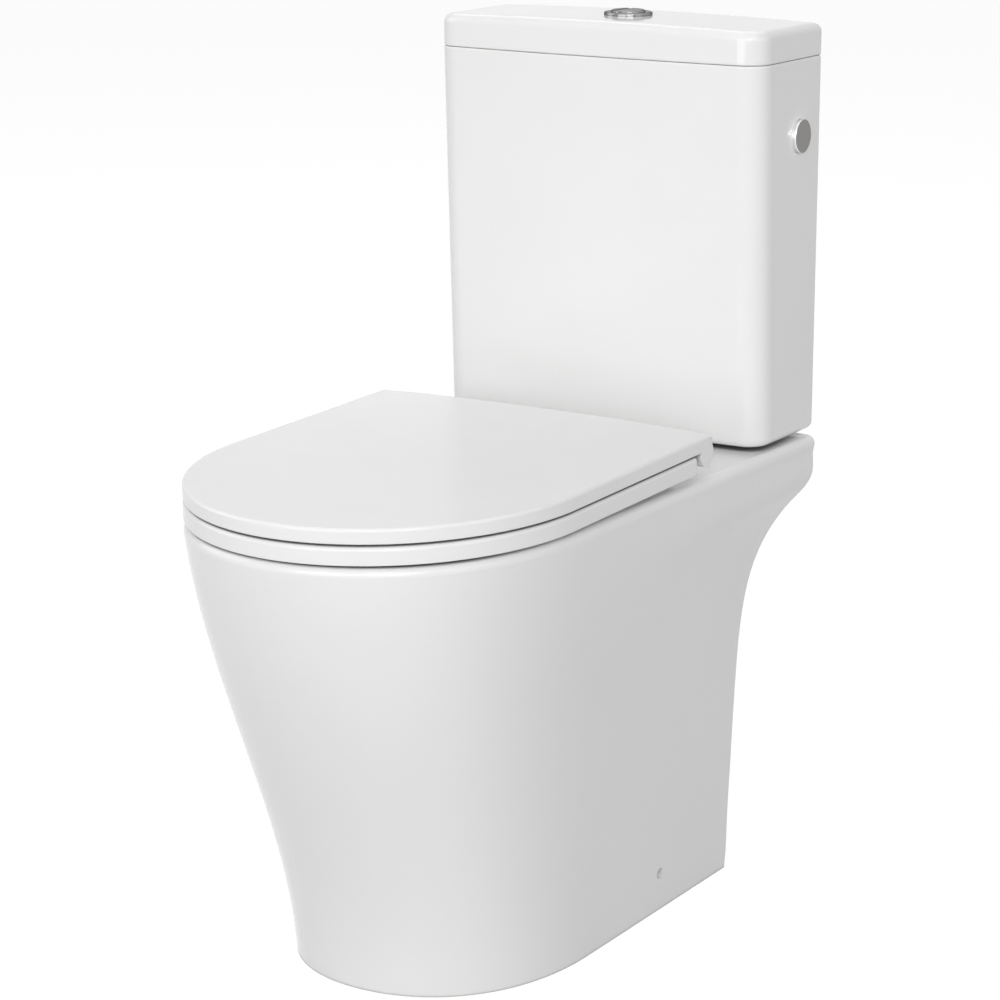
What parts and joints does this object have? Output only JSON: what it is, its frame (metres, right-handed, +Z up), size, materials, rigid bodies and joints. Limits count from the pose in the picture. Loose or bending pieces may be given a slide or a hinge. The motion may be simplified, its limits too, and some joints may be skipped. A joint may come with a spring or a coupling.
{
  "type": "close coupled toilet",
  "caption": "Close coupled toilet with a tapering ceramic pan, a cistern with dual push-button flush, and a soft-close seat and cover on a shared hinge",
  "frame": {"origin": "on the floor, in the middle of the foot of the web that carries the soil outlet", "axes": "+Z up, +Y towards the wall behind, +X to the right as seen from the front"},
  "size_m": [0.3921, 0.6512, 0.826],
  "materials": {
    "ceramic": "gloss",
    "seat": "gloss",
    "chrome": "polished",
    "nickel": "brushed",
    "hinge_metal": "satin",
    "zinc_steel": "bright",
    "white_plastic": "satin",
    "grey_plastic": "satin",
    "blue_plastic": "satin",
    "black_rubber": "matte",
    "soft_rubber": "matte"
  },
  "bodies": {
    "pan_and_cistern": {"pan": "ceramic", "pan_bowl": "ceramic", "pan_trap": "ceramic", "flush_duct": "ceramic", "cistern": "ceramic", "hinge_post_left": "hinge_metal", "hinge_post_right": "hinge_metal", "hinge_pins": "zinc_steel", "seat_damper_rotor": "zinc_steel", "cover_damper_rotor": "zinc_steel", "seat_studs": "zinc_steel", "seat_stud_washers": "black_rubber", "seat_stud_nuts": "white_plastic", "flush_valve_washer": "black_rubber", "flush_valve_base": "white_plastic", "flush_valve_tower": "white_plastic", "actuator_head": "grey_plastic", "flush_valve_backnut": "white_plastic", "coupling_doughnut": "black_rubber", "coupling_bolts": "zinc_steel", "coupling_bolt_seals": "black_rubber", "coupling_washers": "zinc_steel", "wing_nuts": "zinc_steel", "fill_valve_body": "white_plastic", "fill_valve_seal": "black_rubber", "fill_valve_backnut": "white_plastic", "fill_tube": "grey_plastic", "float_pin": "zinc_steel", "side_cap": "nickel", "side_cap_seal": "black_rubber", "side_cap_nut": "white_plastic"},
    "seat_ring": {"seat_ring": "seat", "seat_buffers": "soft_rubber", "seat_damper_body": "grey_plastic"},
    "seat_cover": {"seat_cover": "seat", "cover_buffers": "soft_rubber", "cover_damper_body": "grey_plastic"},
    "cistern_lid": {"cistern_lid": "ceramic", "button_bezel": "chrome", "button_nut": "white_plastic"},
    "full_flush_button": {"full_flush_button": "chrome", "full_flush_rod": "white_plastic"},
    "half_flush_button": {"half_flush_button": "chrome", "half_flush_rod": "blue_plastic"},
    "flush_lift": {"overflow_tube": "grey_plastic", "flush_seal": "black_rubber"},
    "float": {"float_arm": "white_plastic", "float_cup": "blue_plastic"}
  },
  "joints": [
    {"name": "seat_ring_hinge", "type": "hinge", "parent": "pan_and_cistern", "child": "seat_ring", "pos_m": [0, -0.0295, 0.449], "axis": [1, 0, 0], "range_deg": [-95, 0]},
    {"name": "seat_cover_hinge", "type": "hinge", "parent": "seat_ring", "child": "seat_cover", "pos_m": [0, -0.0295, 0.449], "axis": [-1, 0, 0], "range_deg": [0, 96]},
    {"name": "cistern_lid_lift", "type": "slide", "parent": "pan_and_cistern", "child": "cistern_lid", "axis": [0, 0, 1], "range_m": [0, 0.12]},
    {"name": "full_flush_press", "type": "slide", "parent": "cistern_lid", "child": "full_flush_button", "axis": [0, 0, 1], "range_m": [-0.006, 0], "stiffness_N_per_m": 300, "springref_m": 0.012},
    {"name": "half_flush_press", "type": "slide", "parent": "cistern_lid", "child": "half_flush_button", "axis": [0, 0, 1], "range_m": [-0.006, 0], "stiffness_N_per_m": 300, "springref_m": 0.012},
    {"name": "flush_valve_lift", "type": "slide", "parent": "pan_and_cistern", "child": "flush_lift", "axis": [0, 0, 1], "range_m": [0, 0.009]},
    {"name": "float_swing", "type": "hinge", "parent": "pan_and_cistern", "child": "float", "pos_m": [-0.1175, 0.147, 0.717], "axis": [0, -1, 0], "range_deg": [0, 20]}
  ],
  "couplings": [
    {"joint": "flush_valve_lift", "follows": "full_flush_press", "ratio": -1.5}
  ]
}
